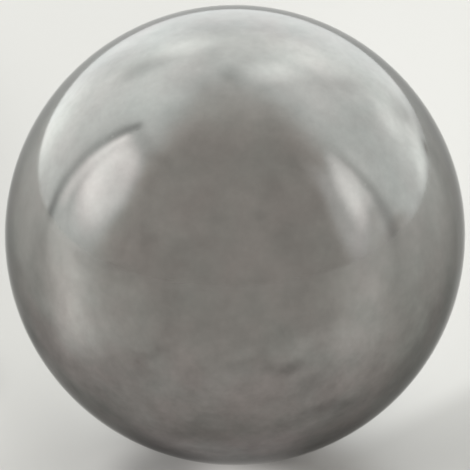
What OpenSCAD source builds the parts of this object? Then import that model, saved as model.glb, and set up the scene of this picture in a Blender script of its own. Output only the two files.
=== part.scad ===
/* Steel ball.
   One solid piece: a ball of through-hard steel, ground and lapped to a true
   sphere. It has no hole, flat, seam or stem, so a single diameter fixes its
   whole form. The origin is the ball's centre and +Z is up; the ball touches
   what it lies on at one point, a radius straight below the origin. */

/* [Ball] */
// Diameter of the ball, in millimetres (25.4 is the one-inch size)
ball_d = 25.4; // [1:0.1:100]

/* [Hidden] */
// Sides of each preview circle; the sphere itself is exact
$fn = 128;

// The whole ball, centred on the origin
module ball() {
    color([0.62, 0.61, 0.60]) sphere(d = ball_d);
}

ball();
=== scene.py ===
# %% [markdown]
# # A polished steel ball, 25.4 mm across
#
# The real thing is one solid piece of hardened steel. It was forged from wire, ground between two
# grooved plates and then lapped until it was round to a few thousandths of a millimetre. It has no
# hole, flat or seam, so all of its character is in the finish: a soft mirror that is slightly
# clouded, faintly wavy, and marked by handling.
#
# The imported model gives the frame: metres, +Z up, the origin at the ball's centre. Everything
# below takes its size from that frame.

# %% Load the frame
import math
import bmesh
import bpy
from mathutils import Matrix, Vector, noise


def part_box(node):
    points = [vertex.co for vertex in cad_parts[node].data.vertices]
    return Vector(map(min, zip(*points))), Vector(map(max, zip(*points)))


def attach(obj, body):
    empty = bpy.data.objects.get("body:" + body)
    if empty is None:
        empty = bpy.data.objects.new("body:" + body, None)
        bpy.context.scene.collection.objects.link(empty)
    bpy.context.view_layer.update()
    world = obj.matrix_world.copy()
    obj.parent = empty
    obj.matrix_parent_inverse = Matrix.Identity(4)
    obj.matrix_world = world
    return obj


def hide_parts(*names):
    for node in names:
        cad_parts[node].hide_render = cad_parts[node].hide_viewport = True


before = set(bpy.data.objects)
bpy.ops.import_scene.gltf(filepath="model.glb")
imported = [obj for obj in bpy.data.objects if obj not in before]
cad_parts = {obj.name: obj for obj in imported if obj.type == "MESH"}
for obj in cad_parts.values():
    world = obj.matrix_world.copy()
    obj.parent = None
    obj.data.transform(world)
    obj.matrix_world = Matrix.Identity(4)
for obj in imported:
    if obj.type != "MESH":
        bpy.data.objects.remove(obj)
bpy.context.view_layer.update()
low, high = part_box("ball")
RADIUS = (high.z - low.z) / 2
MM = 0.001
print(f"ball: radius {RADIUS / MM:.2f} mm, resting on a floor at z = {-RADIUS / MM:.2f} mm")

# %% [markdown]
# ## A shorthand for materials
#
# Materials here are sums of noises and masks. Drawn by hand that would be a web of Math nodes, so
# one small class wraps a node's output and overloads Python's operators: `1 - mask * 0.3` adds the
# Math nodes by itself. `Graph.node` makes any other node, from its type, its settings and what
# goes into its sockets.

# %% A value that can be added and multiplied
class Wire:
    """One output socket. Arithmetic on it adds Math nodes to its graph."""

    def __init__(self, graph, socket):
        self.graph = graph
        self.socket = socket

    def math(self, operation, *values):
        """Adds a Math node to these values."""
        inputs = dict(enumerate(values))
        return self.graph.node("ShaderNodeMath", {"operation": operation}, inputs)

    def __add__(self, other):
        return self.math("ADD", self, other)

    def __radd__(self, other):
        return self.math("ADD", other, self)

    def __sub__(self, other):
        return self.math("SUBTRACT", self, other)

    def __rsub__(self, other):
        return self.math("SUBTRACT", other, self)

    def __mul__(self, other):
        return self.math("MULTIPLY", self, other)

    def __rmul__(self, other):
        return self.math("MULTIPLY", other, self)

    def __truediv__(self, other):
        return self.math("DIVIDE", self, other)

    def __neg__(self):
        return self.math("MULTIPLY", self, -1.0)

    def __abs__(self):
        return self.math("ABSOLUTE", self)

    def power(self, exponent):
        return self.math("POWER", self, exponent)

    def step(self, start, end):
        """0 before start, 1 after end, and a smooth ramp between them."""
        settings = {"interpolation_type": "SMOOTHSTEP"}
        inputs = {"Value": self, "From Min": start, "From Max": end}
        return self.graph.node("ShaderNodeMapRange", settings, inputs)


print("Wire: adds, multiplies and makes soft steps")

# %% A node tree that is filled from Python
OBJECT_PLACE = 3  # outputs of a Texture Coordinate node: the place on the object,
WORLD_DIRECTION = 0  # and, in the world, the direction looked in


class Graph:
    """A node tree that is filled from Python."""

    def __init__(self, tree):
        self.tree = tree
        self.tree.nodes.clear()

    def node(self, kind, settings=None, inputs=None, output=0):
        """Adds a node, sets it up, fills its sockets and returns one output as a Wire."""
        made = self.tree.nodes.new(kind)
        for name, value in (settings or {}).items():
            setattr(made, name, value)
        for name, value in (inputs or {}).items():
            socket = made.inputs[name]
            if isinstance(value, Wire):
                self.tree.links.new(value.socket, socket)
            else:
                socket.default_value = (*value, 1.0) if socket.type == "RGBA" else value
        return Wire(self, made.outputs[output]) if made.outputs else made

    def axes(self, vector):
        """The X, Y and Z of a vector, each as a Wire."""
        parts = self.node("ShaderNodeSeparateXYZ", None, {"Vector": vector})
        outputs = parts.socket.node.outputs
        return [Wire(self, outputs[name]) for name in "XYZ"]

    def noise(self, vector, scale, detail=2.0, roughness=0.5):
        """Smooth noise around 0, from about -0.5 to 0.5."""
        inputs = {"Vector": vector, "Scale": scale, "Detail": detail, "Roughness": roughness}
        return self.node("ShaderNodeTexNoise", None, inputs) - 0.5

    def blend(self, factor, first, second):
        """A colour between two, by the factor."""
        factor_socket, first_socket, second_socket, colour_output = 0, 6, 7, 2
        settings = {"data_type": "RGBA"}
        inputs = {factor_socket: factor, first_socket: first, second_socket: second}
        return self.node("ShaderNodeMix", settings, inputs, output=colour_output)

    def scaled(self, colour, amount):
        """A colour times a number."""
        settings = {"operation": "SCALE"}
        return self.node("ShaderNodeVectorMath", settings, {0: colour, "Scale": amount})


print("Graph: makes nodes, noises and blends")

# %% [markdown]
# ## The camera
#
# A ball mirrors nearly everything round it, and the camera's height decides where the horizon falls
# in that mirror. The camera looks down by 25 degrees through a long lens, so the ball is seen almost
# without perspective and fills the picture. It also leans over by a little more than a degree, as a
# hand-held camera does, which tilts the horizon in the mirror.

# %% Camera
LOOK_DOWN = math.radians(25)
LEAN = math.radians(1.3)
DISTANCE = 25 * RADIUS
PICTURE = 470  # width and height of the picture, in pixels
BALL_CENTRE = (234.6, 234.4)  # middle of the ball's outline, in pixels across and down
BALL_OUTLINE = 230.2  # its radius, in pixels
SENSOR = 36.0

towards_camera = Vector((0, -math.cos(LOOK_DOWN), math.sin(LOOK_DOWN)))
lean = Matrix.Rotation(LEAN, 3, towards_camera)
VIEW_RIGHT = Vector((1, 0, 0)) @ lean
VIEW_UP = towards_camera.cross(VIEW_RIGHT)
outline_slope = RADIUS / math.sqrt(DISTANCE**2 - RADIUS**2)
lens = BALL_OUTLINE / PICTURE * SENSOR / outline_slope

camera_data = bpy.data.cameras.new("camera")
camera_data.sensor_width = SENSOR
camera_data.lens = lens
camera = bpy.data.objects.new("camera", camera_data)
bpy.context.collection.objects.link(camera)
camera.location = towards_camera * DISTANCE
camera.rotation_euler = Matrix((VIEW_RIGHT, VIEW_UP, towards_camera)).transposed().to_euler()
bpy.context.scene.camera = camera
bpy.context.scene.view_settings.view_transform = "Standard"
print(f"camera: {lens:.0f} mm lens, {DISTANCE / MM:.0f} mm away")

# %% [markdown]
# Several things below are placed where the ball shows them, so two helpers turn a pixel of the
# picture into a direction: `on_ball` finds the place on the ball, as a direction from its centre,
# and `mirrored` finds the direction that the ball reflects there. The lens is so long that the
# small shift of the ball's middle in the picture is left to these helpers and not to the camera.

# %% From a pixel to the ball and to its surroundings
def on_ball(across, down):
    """Direction, from the ball's centre, of the place seen at a pixel."""
    x = (across - BALL_CENTRE[0]) / BALL_OUTLINE * outline_slope
    y = (BALL_CENTRE[1] - down) / BALL_OUTLINE * outline_slope
    look = (VIEW_RIGHT * x + VIEW_UP * y - towards_camera).normalized()
    middle = -look.dot(towards_camera) * DISTANCE
    half_chord = math.sqrt(max(0.0, middle**2 - DISTANCE**2 + RADIUS**2))
    return (towards_camera * DISTANCE + look * (middle - half_chord)).normalized()


def mirrored(across, down):
    """Direction that the ball reflects at a pixel."""
    outward = on_ball(across, down)
    look = (outward * RADIUS - towards_camera * DISTANCE).normalized()
    return look.reflect(outward)


print(f"the middle of the ball mirrors {mirrored(*BALL_CENTRE)[:]}")

# %% [markdown]
# ## The floor
#
# The floor is half of what the ball shows, so it is more than a backdrop. It is one wide pale sheet
# with a soft gloss, which carries a streak of light under each lamp, and it reaches so far that the
# ball sees its edge at the horizon. A weak glow is painted into the sheet as emission, strongest in
# front of the ball, which keeps the place where the ball stands from going black.
#
# In front, where the camera stands and the tent is open, the sheet has a darker grey, a painted
# shade. Pools of light are painted as pale patches below each lamp, in front of the ball and behind
# it, to lift the dark parts of the mirror. Their edges are soft, and they are drawn in the sheet's
# material, so the floor still looks plain.

# %% Floor sheet
FLOOR_REACH = 4.0

bm = bmesh.new()
bmesh.ops.create_grid(bm, x_segments=1, y_segments=1, size=FLOOR_REACH)
bmesh.ops.translate(bm, verts=bm.verts, vec=(0, 0, -RADIUS))
floor_mesh = bpy.data.meshes.new("floor")
bm.to_mesh(floor_mesh)
bm.free()
floor = bpy.data.objects.new("floor", floor_mesh)
bpy.context.collection.objects.link(floor)
print(f"floor: {2 * FLOOR_REACH:.0f} m square")

# %% [markdown]
# Places on the floor are in ball radii, x to the right and y away from the camera. A bearing is 0
# towards the camera and grows to the right. Nearly everything on the sheet is one of three soft
# shapes: a patch is an oval, a strip starts some way from the ball and widens as it runs outwards,
# and an edge is a straight line with all of one side filled.

# %% Floor: places and shapes
STRIP_FADE = 0.7  # length over which a strip begins
STRIP_EDGE = (0.3, 1.5)  # where its sides begin and end to fade, as shares of its width

floor_material = bpy.data.materials.new("pale_floor")
floor_material.use_nodes = True
graph = Graph(floor_material.node_tree)
spot = graph.node("ShaderNodeTexCoord", output=OBJECT_PLACE)
x, y, _ = graph.axes(graph.scaled(spot, 1 / RADIUS))
square = (x, y)
distance = (x * x + y * y).power(0.5)


def ray(bearing, aside=0.0):
    """How far a place lies out along a bearing, and how far to the right of a line beside it."""
    turn = math.radians(bearing)
    outward = x * math.sin(turn) - y * math.cos(turn)
    across = x * math.cos(turn) + y * math.sin(turn)
    return outward, across - aside


def inside(across, upright, centre, half, soft):
    """1 inside an oval of two Wires, fading to 0 over the soft share of its size."""
    aside = (across - centre[0]) / half[0]
    above = (upright - centre[1]) / half[1]
    reach = (aside * aside + above * above).power(0.5)
    return 1 - reach.step(1 - soft, 1 + soft)


def patch(place, centre, half, soft=0.7, strength=1.0):
    """A soft oval."""
    return inside(*place, centre, half, soft) * strength


def strip(place, start, narrow, spread, strength=1.0):
    """A strip that runs outwards from its start."""
    outward, across = place
    width = outward * spread + narrow
    lengthwise = outward.step(start, start + STRIP_FADE)
    crosswise = 1 - (abs(across) / width).step(*STRIP_EDGE)
    return lengthwise * crosswise * strength


def past_edge(bearing, away, soft):
    """1 past a straight edge that lies across a bearing, some way out."""
    outward, _ = ray(bearing)
    return (outward - away).step(-soft, soft)


def up_to(end, gone):
    """1 near the ball, fading from one distance to another."""
    return 1 - distance.step(end, gone)


print("floor: shapes ready")

# %% [markdown]
# Painted light: the sheet is a little paler behind the ball, where the glowing back of the tent
# lights it, between two edges that run off to the back, and palest right behind it. It is paler far
# out at the back left too. Painted shade: in front, towards the open front of the tent, a part that
# widens outwards is darker.

# %% Floor: the sheet, with painted light behind the ball and painted shade in front
SHEET_GREY = (0.577, 0.560, 0.537)
# the grey of the painted shade in front, and the white of painted light behind the ball and in the
# painted pools
FRONT_SHADE_GREY = (0.514, 0.493, 0.473)
PAINTED_LIGHT_WHITE = (0.96, 0.94, 0.915)
WEDGE_TURN = 0.09
WEDGE_SLOPE = 0.80
WEDGE_TIP = 1.25
WEDGE_BODY = 3.8
PALER_BEHIND = 0.07
PALER_RIGHT = 0.18
PALER_HEEL = 0.10
PALER_RIGHT_HEEL = 0.14
PALER_BACK_LEFT = 0.16
RIGHT_EDGE = 45.4  # bearing that the right edge of the paler part lies across
LEFT_EDGE = -82.7

to_the_right = x.step(-0.3, 0.8)
# painted light, palest right behind the ball
painted_light_at_heel = up_to(end=0.7, gone=1.8) * (PALER_HEEL + to_the_right * PALER_RIGHT_HEEL)
past_right_edge = past_edge(RIGHT_EDGE, away=0.42, soft=0.11)
past_left_edge = past_edge(LEFT_EDGE, away=0.66, soft=0.15)
between_edges = (1 - past_right_edge) * (1 - past_left_edge) * up_to(end=3, gone=9)
# painted light behind the ball and far out at the back left
painted_light_behind = between_edges * (PALER_BEHIND + to_the_right * PALER_RIGHT + painted_light_at_heel)
far_left = (-x).step(1.0, 4.3)
towards_back = (y / distance).step(-0.16, 0.40)
painted_light_back_left = far_left * towards_back * PALER_BACK_LEFT
# painted shade in front, towards the open front of the tent
painted_front_shade = (x * WEDGE_TURN - y - abs(x) * WEDGE_SLOPE).step(WEDGE_TIP, WEDGE_BODY)
near_sheet = graph.blend(painted_light_behind + painted_light_back_left, SHEET_GREY, PAINTED_LIGHT_WHITE)
sheet_colour = graph.blend(painted_front_shade, near_sheet, FRONT_SHADE_GREY)
print("floor: sheet grey in front, paler behind the ball")

# %% [markdown]
# Painted pools of light lift the dark parts of the mirror. The one below the left lamp is the widest
# and bends away from the camera far out. Near the ball its back edge is trimmed a little. Each has a
# strength: 1 would be white.

# %% Floor: painted pools of light
LEFT_POOL_LINE = -0.52  # how far in front of the ball's middle the painted pool of light below the left lamp runs
LEFT_POOL_BEND = 4.3
LEFT_POOL_BENDS = (5, 28)  # how far out the bend begins and ends
TRIM_LINE = -0.25  # the painted pool is trimmed behind this line
TRIM_SOFT = 0.12
TRIM_SHARE = 0.4

# painted light: the pool below the left lamp
left_bend = (-x).step(*LEFT_POOL_BENDS) * LEFT_POOL_BEND
left_place = (-x, y - LEFT_POOL_LINE - left_bend)
painted_pool_left = strip(left_place, start=1.28, narrow=0.07, spread=0.225, strength=0.95)
trimmed_length = distance.step(1.2, 2.0) * up_to(end=3.5, gone=5.0)
trimmed = (y - TRIM_LINE).step(-TRIM_SOFT, TRIM_SOFT) * trimmed_length
painted_pool_left = painted_pool_left * (1 - trimmed * TRIM_SHARE)
# painted light: more pools, beside and in front of the ball and at the back
painted_pool_left_start = patch(square, centre=(-1.42, -0.14), half=(0.36, 0.48), strength=0.20)
painted_pool_left_border = strip(ray(-62.6), start=1.58, narrow=0.337, spread=0.28, strength=0.28)
painted_pool_front = patch(square, centre=(-0.07, -0.97), half=(1.0, 0.72), soft=0.5, strength=0.31)
painted_pool_back = strip(ray(-125), start=2.85, narrow=0.28, spread=0.153, strength=0.25)
painted_pool_right = strip(ray(53, aside=0.104), start=1.12, narrow=0.168, spread=0.186, strength=0.31)
painted_pool_right_start = patch(square, centre=(1.47, -1.78), half=(0.69, 0.69), strength=0.27)
# all the painted pools of light added up
painted_pools_left = painted_pool_left + painted_pool_left_start + painted_pool_left_border * up_to(end=6, gone=14)
painted_light_pools = painted_pools_left + painted_pool_front + painted_pool_back + painted_pool_right + painted_pool_right_start
print("floor: cards on the left, right, front and back")

# %% [markdown]
# Painted shade: the sheet is darker where the left seam of the tent comes down and far out at the
# back right, and a painted shadow of the ball darkens a few places near it. A painted glow, emission
# in the sheet, is strongest in front of the ball, next to where it stands.

# %% Floor: painted shades and painted glow
PAINTED_GLOW = 0.08

# painted shade and painted shadow: each patch darkens the sheet's colour
shades = {
    "left seam": strip(ray(-107), start=3.1, narrow=0, spread=0.049, strength=0.11),
    "back right": strip(ray(135), start=12, narrow=0, spread=0.09, strength=0.22),
    "at the foot": patch(square, centre=(-0.35, -0.29), half=(0.19, 0.19), strength=0.50),
    "left, behind": patch(square, centre=(-1.32, 0.68), half=(0.20, 0.30), strength=0.24),
    "far behind": patch(square, centre=(-1.9, 2.8), half=(0.8, 1.5), strength=0.14),
    "right": patch(ray(RIGHT_EDGE), centre=(0.86, 1.5), half=(0.34, 1.1), soft=0.6, strength=0.18),
}
painted_shading = 1.0
for painted_shade_patch in shades.values():
    painted_shading = painted_shading * (1 - painted_shade_patch)
# painted glow: emission where there is no lamp, lifting the ball's shadow in front of it
painted_glow_front = patch(ray(65.7), centre=(0.09, -0.45), half=(0.46, 0.235), soft=0.6, strength=0.55)
painted_glow_left = patch(square, centre=(-0.50, -0.54), half=(0.20, 0.14), strength=0.18)
glow = PAINTED_GLOW + painted_glow_front + painted_glow_left
print(f"floor: {len(shades)} shades, and a glow in front of the ball")

# %% Floor: put together
FLOOR_ROUGHNESS = 0.32

# the sheet's colour with painted light and painted shade in it; the painted glow takes a share of it
# as emission
colour = graph.scaled(graph.blend(painted_light_pools, sheet_colour, PAINTED_LIGHT_WHITE), painted_shading)
sheet = graph.node(
    "ShaderNodeBsdfPrincipled",
    None,
    {
        "Base Color": graph.scaled(colour, 1 - glow),
        "Roughness": FLOOR_ROUGHNESS,
        "Emission Color": graph.scaled(colour, glow),
        "Emission Strength": 1.0,
    },
)
graph.node("ShaderNodeOutputMaterial", None, {"Surface": sheet})
floor_mesh.materials.append(floor_material)
print("floor: laid")

# %% [markdown]
# ## The light tent
#
# Polished metal mirrors whatever stands round it, so it is best lit in a tent of thin white cloth.
# Two lamps shine through the sides of this one, its back glows softly, and its front is open where
# the camera stands. The tent is far larger than the ball, so it is written as the world: how bright
# the cloth is in each direction.
#
# A direction is given as a bearing, 0 towards the camera and growing to the right, and a height
# above the horizon, both in degrees. The tent hangs straight in the picture, so both are measured
# after it has been turned by the camera's lean.

# %% Directions in the tent
world = bpy.data.worlds.new("light_tent")
bpy.context.scene.world = world
world.use_nodes = True
tent = Graph(world.node_tree)
DEGREES = math.degrees(1)
direction = tent.node("ShaderNodeTexCoord", output=WORLD_DIRECTION)
leaning = tent.node(
    "ShaderNodeMapping",
    {"vector_type": "VECTOR"},
    {"Vector": direction, "Rotation": lean.to_euler()},
)
right, back, up = tent.axes(leaning)
bearing = right.math("ARCTAN2", right, -back) * DEGREES
height = up.math("ARCSINE", up) * DEGREES
print("tent: bearings and heights ready")

# %% [markdown]
# The cloth is brightest behind the ball and fades towards the sides and the top. It hangs in loose
# folds, which a smooth noise gives. The open front is a plain dim grey, a little warm.

# %% Cloth and opening
OPEN_FRONT = 0.53
BACK_LIGHT = 0.42
FOLD_DEPTH = 0.22
CEILING_FRONT = 0.54
CEILING_RISE = 0.76
CLOTH_STEPS = {
    # side (-1 is left), bearings where the change begins and ends, change in brightness
    "left side": (-1, 50, 100, 0.55),
    "past the left seam": (-1, 99, 122, 0.26),
    "far left": (-1, 130, 178, -0.13),
    "right half of the opening": (1, 5, 30, -0.04),
    "right side": (1, 50, 100, 0.67),
    "far right": (1, 120, 178, 0.05),
}

sides = OPEN_FRONT
for side, begins, ends, change in CLOTH_STEPS.values():
    sides = sides + (bearing * side).step(begins, ends) * change
folds = tent.noise(leaning, scale=3.0, detail=2.5, roughness=0.5) * FOLD_DEPTH
walls = sides + back.step(0.15, 0.95) * BACK_LIGHT + folds
ceiling = CEILING_FRONT + back.step(-0.38, 0.74) * CEILING_RISE
ceiling_share = height.step(50, 78)
cloth_light = walls * (1 - ceiling_share) + ceiling * ceiling_share
print(f"tent: {len(CLOTH_STEPS)} changes round its walls, and a ceiling")

# %% [markdown]
# Each lamp makes a soft oval of light on its side of the tent, with weaker ovals round it where the
# cloth is looser. The right lamp leans, so its bearing shifts with the height.

# %% Lamps
LAMP_OVALS = {
    # bearing, height, half width, half height, softness, strength
    "left lamp": (-82, 28.5, 15.3, 16.5, 0.40, 0.67),
    "core of the left lamp": (-92, 29, 6, 11, 0.8, 0.20),
    "below the left lamp": (-83, 12, 12, 10, 0.7, 0.30),
    "above the left lamp": (-83, 39, 13, 4, 0.8, 0.12),
    "upper corner of the left lamp": (-94.5, 42.5, 3, 4, 0.8, 0.22),
    "round the right lamp": (64.5, 22, 10, 20, 0.35, 0.26),
    "below the right lamp": (65, 5, 9, 9, 0.8, 0.07),
    "beside the right seam": (88.5, 34, 3, 9, 0.8, 0.14),
    "above the right lamp": (58, 43, 5, 9, 0.8, 0.13),
    "back edge of the right lamp": (80.5, 20.5, 3, 3, 0.8, 0.26),
}
RIGHT_LAMP_LEAN = 0.17
RIGHT_LAMP_UPRIGHT = 27  # height where the lean doesn't shift it
RIGHT_LAMP = 0.76
STRIP_LIGHT = 0.24  # of the bright strip beside the left seam, at the horizon
STRIP_LIGHT_RISE = 0.013  # more of it with each degree of height
STRIP_WIDTH = 6.5
STRIP_TAPER = 0.075


def on_cloth(across, upright, half_width, half_height, soft, strength):
    """A soft oval on the cloth, given in degrees."""
    middle = (across, upright)
    return inside(bearing, height, middle, (half_width, half_height), soft) * strength


def seam(across, lean, bend, half_width, low_end, high_end):
    """1 along a nearly upright line on the cloth, which leans and bends with its height."""
    low_fade = 6
    high_fade = 4
    middle = height * lean + height * height * bend + across
    above_low_end = height.step(low_end - low_fade, low_end)
    below_high_end = 1 - height.step(high_end - high_fade, high_end)
    return (1 - abs(bearing - middle).step(0, half_width)) * above_low_end * below_high_end


leaning_bearing = bearing + (RIGHT_LAMP_UPRIGHT - height) * RIGHT_LAMP_LEAN
lamps = inside(leaning_bearing, height, centre=(73, 30), half=(7.5, 13.5), soft=0.55) * RIGHT_LAMP
for oval in LAMP_OVALS.values():
    lamps = lamps + on_cloth(*oval)
strip_width = STRIP_WIDTH - height * STRIP_TAPER
left_strip = seam(-102.2, lean=0, bend=0.0031, half_width=strip_width, low_end=8, high_end=46)
lamps = lamps + left_strip * (STRIP_LIGHT + height * STRIP_LIGHT_RISE)
print(f"tent: two lamps, with {len(LAMP_OVALS)} ovals and a bright strip beside the left seam")

# %% [markdown]
# Beside each lamp is a seam, a narrow dark line where two panels of cloth meet. Both seams bend
# towards the open front as they rise. The left one is darker at its ends than in its middle, and
# the right one narrows and fades with its height.

# %% Seams
SEAM_MIDDLE = 25  # height where the left seam is palest
SEAM_REACH = 20
LEFT_DARKNESS = 0.28
LEFT_DARKER_ENDS = 0.22
LEFT_WIDTH = 4.6
LEFT_WIDENS = 0.015
RIGHT_DARKNESS = 0.42
RIGHT_FADES = 0.006
RIGHT_WIDTH = 8
RIGHT_NARROWS = 0.14
FOLD_STRENGTH = 0.12

rise = (height - SEAM_MIDDLE) / SEAM_REACH
left_darkness = LEFT_DARKNESS + rise * rise * LEFT_DARKER_ENDS
right_darkness = RIGHT_DARKNESS - height * RIGHT_FADES
left_width = LEFT_WIDTH + height * LEFT_WIDENS
right_width = RIGHT_WIDTH - height * RIGHT_NARROWS
left_seam = seam(-107.3, lean=0, bend=0.0032, half_width=left_width, low_end=-4, high_end=52.5)
right_seam = seam(86.2, lean=-0.01, bend=-0.0028, half_width=right_width, low_end=-1, high_end=47)
left_fold = seam(-96.2, lean=0, bend=0, half_width=3, low_end=8, high_end=26) * FOLD_STRENGTH
left_fold = left_fold + on_cloth(-77, 49, 13, 4, soft=0.8, strength=0.18)
shade = (1 - left_seam * left_darkness) * (1 - right_seam * right_darkness) * (1 - left_fold)
print("tent: a seam beside each lamp")

# %% [markdown]
# Low at the back the cloth glows most. Elsewhere it bulges towards the light or sags away from it,
# and each such place is a soft oval that is added or, with a strength below 0, taken away.

# %% Glow at the back and low down
BACK_GLOW = 1.42
BACK_GLOW_TURN = 0.08
CLOTH_OVALS = {
    # bearing, height, half width, half height, softness, strength
    "right of the back": (127, 14, 13, 13, 0.6, 0.25),
    "right end of the glow": (139, -1, 12, 4.5, 0.6, -0.65),
    "high at the right": (122, 60, 16, 12, 0.8, 0.18),
    "high at the back": (152, 45, 12, 22, 0.8, 0.14),
    "left of the back": (-162, 32, 9, 14, 0.8, 0.22),
    "low at the back, left": (-147, 12, 10, 8, 0.8, -0.42),
    "foot of the cloth, right": (116, -2, 10, 4.5, 0.6, -0.36),
    "foot of the cloth, left": (-127, 0, 9, 4.5, 0.7, -0.30),
    "above the left foot": (-126, 9, 5, 5, 0.8, -0.12),
    "before the right seam, high": (80, 38, 4, 6, 0.8, -0.18),
    "before the right seam, low": (80, 2, 4, 3, 0.8, -0.12),
    "past the right seam": (92, 9, 6, 5, 0.8, -0.10),
}

back_glow = (back - right * BACK_GLOW_TURN).step(0.50, 1.02) * (1 - height.step(4, 30)) * BACK_GLOW
loose_cloth = back_glow
for oval in CLOTH_OVALS.values():
    loose_cloth = loose_cloth + on_cloth(*oval)
print(f"tent: glowing at the back, {len(CLOTH_OVALS)} bulges and sags")

# %% [markdown]
# The smaller bulges and sags are easier to place by where the ball shows them. Their middles and
# half sizes are in pixels of the camera's view, and the turn is in degrees, anticlockwise.
#
# Such an oval can lie at any slant. One Mapping node turns, moves and stretches space so that the
# oval becomes a unit ball round the origin, and its rim is then simply where the length is 1.

# %% Ovals at any slant
def reach_of_oval(graph, position, centre, along, side):
    """Distance from a centre in space, 1 at the rim of an oval with half axes `along` and `side`."""
    thickness = 0.5
    outward = along.cross(side).normalized()
    axes = Matrix((along.normalized(), outward.cross(along).normalized(), outward)).transposed()
    settings = {"vector_type": "TEXTURE"}
    inputs = {
        "Vector": position,
        "Location": centre,
        "Rotation": axes.to_euler(),
        "Scale": (along.length, side.length, thickness),
    }
    local = graph.node("ShaderNodeMapping", settings, inputs)
    return graph.node("ShaderNodeVectorMath", {"operation": "LENGTH"}, {0: local}, output=1)


print("ovals: can be turned in space")

# %% Bulges and sags placed in the mirror
MIRRORED_OVALS = {
    # pixel across, pixel down, half length, half width, turn, strength
    "upper left, broad": (170, 42, 40, 9, 18, 0.25),
    "upper left, at the rim": (178, 33, 26, 4, 8, 0.10),
    "upper left, small": (165, 55, 8, 5, 0, 0.12),
    "upper left, side": (118, 78, 15, 9, 40, 0.16),
    "upper left, sag": (145, 65, 26, 7, 20, -0.23),
    "upper left, faint sag": (138, 48, 14, 9, 40, -0.08),
    "left end of the horizon": (62, 110, 30, 8, 62, 0.35),
    "left end, lower": (42, 150, 24, 3, 80, 0.25),
    "top": (232, 24, 62, 8, 0, 0.17),
    "top, small sag": (208, 30, 16, 4, 5, -0.15),
    "top, left of the dark front": (205, 56, 14, 8, 0, -0.14),
    "top of the dark front": (228, 84, 20, 20, 0, -0.06),
    "top of the dark front, small": (230, 76, 9, 7, 0, -0.10),
    "top of the dark front, left": (204, 84, 9, 18, 0, -0.07),
    "upper right, broad": (320, 52, 44, 12, -28, 0.38),
    "upper right, near the top": (268, 70, 24, 10, 12, 0.30),
    "upper right, small": (278, 82, 12, 5, 0, 0.08),
    "upper right, at the rim": (290, 36, 18, 6, -8, 0.08),
    "upper right, side": (352, 92, 15, 9, -45, 0.09),
    "upper right, sag": (315, 42, 26, 5, -12, -0.10),
    "upper right, faint sag": (250, 62, 16, 5, 8, -0.06),
    "right edge, upper": (386, 116, 24, 6, -56, 0.32),
    "right edge, lower": (421, 168, 30, 4, -82, 0.40),
    "right edge, sag": (400, 110, 15, 5, -52, -0.35),
    "right edge, small sag": (405, 108, 10, 5, -50, -0.25),
    "foot of the right edge": (400, 224, 12, 9, 30, -0.28),
    "above the left lamp, broad": (165, 115, 24, 22, 0, 0.10),
    "above the left lamp": (152, 112, 16, 14, 0, 0.08),
    "beside the left lamp": (158, 142, 10, 10, 0, 0.08),
    "corner of the dark front": (165, 161, 9, 5, -45, -0.08),
    "under that corner": (154, 173, 8, 7, 0, -0.05),
    "arc beside the left lamp": (136, 215, 44, 4, 88, 0.05),
    "foot of that arc": (130, 250, 12, 5, 80, 0.06),
    "dark front, paler spot": (278, 232, 14, 11, 0, 0.03),
    "dark front, darker foot": (262, 262, 36, 24, 0, -0.025),
}
NOTCH_BY_THE_HORIZON = (428.5, 152, 8, 2.5, -78, -0.70)


def in_mirror(across, down, half_length, half_width, turn, strength, soft=0.75):
    """A soft oval of the tent, given by where the ball mirrors it."""
    level = math.cos(math.radians(turn))
    climb = math.sin(math.radians(turn))
    one_end = mirrored(across + level * half_length, down - climb * half_length)
    other_end = mirrored(across - level * half_length, down + climb * half_length)
    one_side = mirrored(across - climb * half_width, down - level * half_width)
    other_side = mirrored(across + climb * half_width, down + level * half_width)
    along = (one_end - other_end) / 2
    side = (one_side - other_side) / 2
    reach = reach_of_oval(tent, direction, mirrored(across, down), along, side)
    return (1 - reach.step(1 - soft, 1 + soft)) * strength


for oval in MIRRORED_OVALS.values():
    loose_cloth = loose_cloth + in_mirror(*oval)
loose_cloth = loose_cloth + in_mirror(*NOTCH_BY_THE_HORIZON, soft=0.6)
print(f"tent: {len(MIRRORED_OVALS)} smaller bulges and sags")

# %% [markdown]
# Dim cloth is warm, bright cloth is a cool white, and the lamps are neutral.

# %% Tent as the world
WARM_GREY = (1.05, 1.0, 0.935)
WHITE_CLOTH = (0.967, 1.0, 0.976)
BACK_CLOTH = (0.966, 1.0, 0.998)
LAMP_WHITE = (1.005, 0.995, 0.975)

unshaded = cloth_light + lamps + loose_cloth
cloth_tint = tent.blend(unshaded.step(0.50, 1.15), WARM_GREY, WHITE_CLOTH)
low_back = back.step(0.70, 0.95) * (1 - height.step(25, 45))
cloth_tint = tent.blend(low_back, cloth_tint, BACK_CLOTH)
tint = tent.blend(lamps.step(0, 0.4), cloth_tint, LAMP_WHITE)
lit = tent.scaled(tint, unshaded * shade)
light = tent.node("ShaderNodeBackground", None, {"Color": lit, "Strength": 1.0})
tent.node("ShaderNodeOutputWorld", None, {"Surface": light})
print("tent: hung")

# %% [markdown]
# ## The ball's form
#
# A mirror shows every fault in a mesh. The ball is a cube whose faces are cut finely and blown up
# to the radius, which gives even squares all over and no poles where triangles crowd together. The
# cube's six faces also make six tidy islands for the UV map.
#
# Lapping leaves the real ball a few thousandths of a millimetre out of round in long low waves. They
# can't be seen as shape, but they make each mirrored edge wander a little, so they are modelled.

# %% Ball mesh
CUTS = 95
WAVE_DEPTH = 0.005 * MM
WAVE_LENGTH = 5.0 * MM
FINER = 2.3  # a second, finer wave, this much shorter
FINER_SHARE = 0.45  # and this high beside the first
FINER_SHIFT = Vector((7.1, 3.3, 5.7))
UV_MARGIN = 0.02


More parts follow.
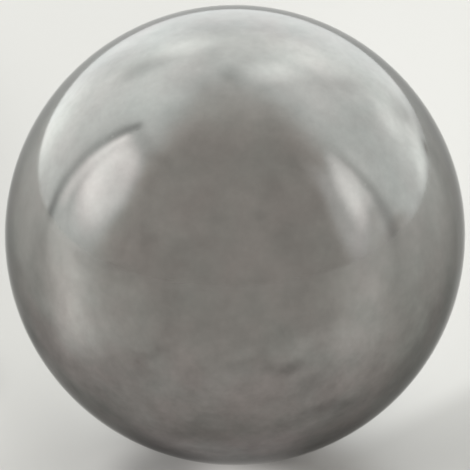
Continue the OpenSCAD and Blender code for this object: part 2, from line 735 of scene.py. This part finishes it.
def waviness(outward):
    """Height of the lapping waves in one direction from the ball's centre, from -1 to 0."""
    place = outward * (RADIUS / WAVE_LENGTH)
    finer_wave = noise.noise(place * FINER + FINER_SHIFT)
    wave = noise.noise(place) + finer_wave * FINER_SHARE
    return max(-1.0, min(0.0, wave * 0.5 - 0.5))


def lay_out(face, uv_layer):
    """Puts one square in its cube side's cell of the UV map, three cells across and two up."""
    axis = max(range(3), key=lambda k: abs(face.normal[k]))
    positive = face.normal[axis] > 0
    first, second = [k for k in range(3) if k != axis]
    for loop in face.loops:
        u = 0.5 + loop.vert.co[first] / 2 * (1 if positive else -1)
        v = 0.5 + loop.vert.co[second] / 2
        u = UV_MARGIN + u * (1 - 2 * UV_MARGIN)
        v = UV_MARGIN + v * (1 - 2 * UV_MARGIN)
        loop[uv_layer].uv = ((axis + u) / 3, ((1 if positive else 0) + v) / 2)


bm = bmesh.new()
bmesh.ops.create_cube(bm, size=2.0)
bmesh.ops.subdivide_edges(bm, edges=bm.edges, cuts=CUTS, use_grid_fill=True)
bm.normal_update()
uv_layer = bm.loops.layers.uv.new("OFBake")
for face in bm.faces:
    lay_out(face, uv_layer)
    face.smooth = True
for vertex in bm.verts:
    spread = Vector(math.tan(c * math.pi / 4) for c in vertex.co)
    outward = spread.normalized()
    vertex.co = outward * (RADIUS + WAVE_DEPTH * waviness(outward))
ball_mesh = bpy.data.meshes.new("polished_ball")
bm.to_mesh(ball_mesh)
bm.free()
ball = bpy.data.objects.new("polished_ball", ball_mesh)
bpy.context.collection.objects.link(ball)
print(f"ball: {len(ball_mesh.polygons)} squares")

# %% [markdown]
# ## The steel
#
# Bare hardened steel that has been handled isn't an even mirror. A thin film clouds it in soft
# patches, wiped places are a little lighter and duller, and small stains are darker. The clouds are
# noise of several sizes, which is the same kind all over the ball. The wiped places and the stains
# lie where they are seen, so each is placed one by one.

# %% Steel: clouds in the film
steel = bpy.data.materials.new("lapped_steel")
steel.use_nodes = True
finish = Graph(steel.node_tree)
place = finish.node("ShaderNodeTexCoord", output=OBJECT_PLACE)
unit = finish.scaled(place, 1 / RADIUS)
clouds = finish.noise(unit, scale=2.2, detail=3.0, roughness=0.55)
tints = finish.noise(unit, scale=4.5, detail=2.0, roughness=0.5)
mottle = finish.noise(unit, scale=8.0, detail=3.0, roughness=0.6)
grain = finish.noise(unit, scale=28.0, detail=2.0, roughness=0.6)
print("steel: clouds, tints, mottle and grain")

# %% [markdown]
# A mark is such a slanting oval, lying on the ball. Its middle is read off the camera's view in
# pixels. Space is first bent a little by noise, which makes the oval ragged.

# %% Steel: a ragged mark
RAGGED = (0.10, 0.10, 0.10)  # how far space is bent, in ball radii
HALF = (0.5, 0.5, 0.5)
MARK_EDGE = (0.25, 1.3)  # where a mark's edge begins and ends, as shares of its size

cloudy = {"Vector": unit, "Scale": 6.0, "Detail": 3.0}
bend = finish.node("ShaderNodeTexNoise", None, cloudy, output=1)
bend = finish.node("ShaderNodeVectorMath", {"operation": "SUBTRACT"}, {0: bend, 1: HALF})
bent = {0: bend, 1: RAGGED, 2: unit}
ragged_place = finish.node("ShaderNodeVectorMath", {"operation": "MULTIPLY_ADD"}, bent)


def mark(across, down, half_length, half_width, turn, strength):
    """A ragged oval seen at a pixel, half sizes in mm, turned anticlockwise by degrees."""
    outward = on_ball(across, down)
    lie = VIEW_RIGHT * math.cos(math.radians(turn)) + VIEW_UP * math.sin(math.radians(turn))
    side = outward.cross(lie).normalized()
    along = side.cross(outward)
    size = MM / RADIUS
    long_axis = along * half_length * size
    short_axis = side * half_width * size
    reach = reach_of_oval(finish, ragged_place, outward, long_axis, short_axis)
    return (1 - reach.step(*MARK_EDGE)) * strength


def marks(rows):
    """All the marks of a table, added up."""
    total = 0.0
    for row in rows.values():
        total = total + mark(*row)
    return total


print("steel: ready for ragged marks")

# %% Steel: wiped places and stains
WIPED_PLACES = {
    # pixel across, pixel down, half length, half width, turn, strength
    "top left": (190, 47, 1.8, 0.7, 12, 0.9),
    "top middle": (272, 72, 1.6, 0.9, 5, 1.0),
    "top right": (300, 60, 1.9, 0.7, -12, 0.7),
    "upper left": (140, 95, 1.3, 0.8, 40, 0.6),
    "left, low": (72, 312, 1.6, 0.6, 75, 1.0),
    "right, low": (372, 290, 1.8, 1.0, 60, 0.5),
    "below the middle": (240, 356, 1.0, 0.5, 20, 0.9),
    "below the middle, left": (203, 362, 1.3, 0.9, 0, 0.6),
    "below the middle, right": (285, 355, 1.2, 0.6, 15, 0.8),
    "lower right, streak": (342, 385, 1.4, 0.5, 70, 0.6),
    "lower right, small": (343, 397, 0.8, 0.5, 40, 1.0),
    "lower right, broad": (284, 412, 1.8, 1.0, 10, 0.6),
    "foot, right": (301, 428, 1.2, 0.6, 10, 1.2),
}
STAINS = {
    # pixel across, pixel down, half length, half width, turn, strength
    "top left, long": (143, 67, 2.2, 0.7, 25, 1.0),
    "top": (200, 30, 2.0, 1.0, 8, 0.8),
    "top middle": (232, 75, 0.9, 0.8, 0, 0.7),
    "above the middle": (275, 127, 1.3, 0.5, 0, 0.7),
    "upper right": (345, 84, 0.8, 0.6, 0, 0.7),
    "upper right, lower": (372, 108, 0.8, 0.7, -40, 0.6),
    "middle, small": (258, 215, 0.5, 0.4, 0, 0.6),
    "left, thin": (112, 266, 1.0, 0.35, 0, 0.7),
    "right of the middle": (316, 284, 1.4, 0.8, 20, 0.35),
    "left, low": (150, 318, 1.4, 1.1, 60, 0.4),
    "left, by the rim": (90, 330, 1.5, 1.0, 60, 0.4),
    "lower left, thin": (155, 352, 1.6, 0.4, 35, 0.8),
    "lower left": (132, 370, 1.8, 1.3, 60, 0.8),
    "lower left, faint": (150, 385, 2.4, 1.6, 40, 0.3),
    "below the middle": (275, 348, 1.7, 1.3, 70, 0.6),
    "dark speck": (290, 367, 0.8, 0.55, 20, 1.6),
    "beside the speck": (312, 385, 1.0, 0.7, 60, 1.0),
    "below the speck": (314, 389, 1.6, 1.2, 20, 0.8),
    "lower right": (340, 404, 0.9, 0.8, 20, 1.0),
    "lower right, by the rim": (357, 403, 1.6, 0.8, 30, 0.5),
    "foot, small": (326, 406, 0.9, 0.6, 0, 0.8),
    "foot, right": (308, 414, 1.0, 0.7, 10, 1.2),
    "foot": (208, 450, 1.6, 0.5, 0, 1.0),
}

wiped = marks(WIPED_PLACES)
stained = marks(STAINS)
print(f"steel: {len(WIPED_PLACES)} wiped places, {len(STAINS)} stains")

# %% [markdown]
# Hair-fine scratches come from noise that is stretched into long threads and cut off high, in two
# directions. They only tilt the surface, so they show as glints and don't darken the steel.

# %% Steel: hairlines
THREAD = (1.2, 60, 60)  # the noise runs on along the first axis and is fine across it
SCRATCH_TIPS = (0.22, 0.30)  # only noise higher than this is a scratch
SCRATCH_DEPTH = 0.02 * MM
SCRATCH_STRENGTH = 0.04


def hairlines(turn, seed):
    """Sparse thin threads that run round the ball in one direction."""
    threads = finish.node(
        "ShaderNodeMapping",
        None,
        {"Vector": unit, "Location": (seed, 0, 0), "Rotation": turn, "Scale": THREAD},
    )
    return finish.noise(threads, scale=1.0, detail=1.0).step(*SCRATCH_TIPS)


scratches = hairlines(turn=(0.3, 0.8, 0.2), seed=3.0) + hairlines(turn=(1.4, -0.5, 1.1), seed=8.0)
relief = finish.node(
    "ShaderNodeBump",
    None,
    {"Strength": SCRATCH_STRENGTH, "Distance": SCRATCH_DEPTH, "Height": scratches},
)
print("steel: hairlines in two directions")

# %% [markdown]
# The film is thicker low down, where the ball is handled, so its mottle is stronger there. The steel
# varies between a warm and a cool grey, and low down at the left it has a faint brown cast. A metal's
# Specular Tint darkens it at the rim, as the film does on the real ball.

# %% Steel: put together
WARM_STEEL = (0.354, 0.339, 0.330)
COOL_STEEL = (0.336, 0.341, 0.330)
NO_CAST = (1.0, 1.0, 1.0)
BROWN_CAST = (1.028, 1.010, 1.028)
RIM_TINT = (0.48, 0.48, 0.48)
HANDLED_ABOVE = 0.7
MORE_HANDLED_BELOW = 0.7
CLOUD_DEPTH = 0.20
MOTTLE_DEPTH = 0.43
GRAIN_DEPTH = 0.16
TINT_DEPTH = 2.4
MARK_DEPTH = 0.12
ROUGHNESS = 0.10
CLOUD_ROUGHNESS = 0.06
WIPED_ROUGHNESS = 0.03

rightward, _, upward = finish.axes(unit)
low_down = (-upward).step(-0.4, 0.5)
handled = HANDLED_ABOVE + low_down * MORE_HANDLED_BELOW
film = 1 + clouds * CLOUD_DEPTH + (mottle * MOTTLE_DEPTH + grain * GRAIN_DEPTH) * handled
coolness = 0.5 + tints * TINT_DEPTH * handled
plain_steel = finish.blend(coolness, WARM_STEEL, COOL_STEEL)
browned = (-upward).step(-0.2, 0.3) * (1 - rightward.step(0.35, 0.75))
cast = finish.blend(browned, NO_CAST, BROWN_CAST)
cast_steel = finish.node("ShaderNodeVectorMath", {"operation": "MULTIPLY"}, {0: plain_steel, 1: cast})
brightness = film + wiped * MARK_DEPTH - stained * MARK_DEPTH
bare = finish.node(
    "ShaderNodeBsdfPrincipled",
    None,
    {
        "Base Color": finish.scaled(cast_steel, brightness),
        "Metallic": 1.0,
        "Roughness": ROUGHNESS + clouds * CLOUD_ROUGHNESS + wiped * WIPED_ROUGHNESS,
        "Specular Tint": RIM_TINT,
        "Normal": relief,
    },
)
finish.node("ShaderNodeOutputMaterial", None, {"Surface": bare})
ball_mesh.materials.append(steel)
print("steel: finished")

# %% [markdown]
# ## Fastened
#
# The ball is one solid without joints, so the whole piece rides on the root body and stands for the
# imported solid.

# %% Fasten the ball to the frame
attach(ball, "root")
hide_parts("ball")
print(f"{ball.name}: rides on the root, in the steel slot")
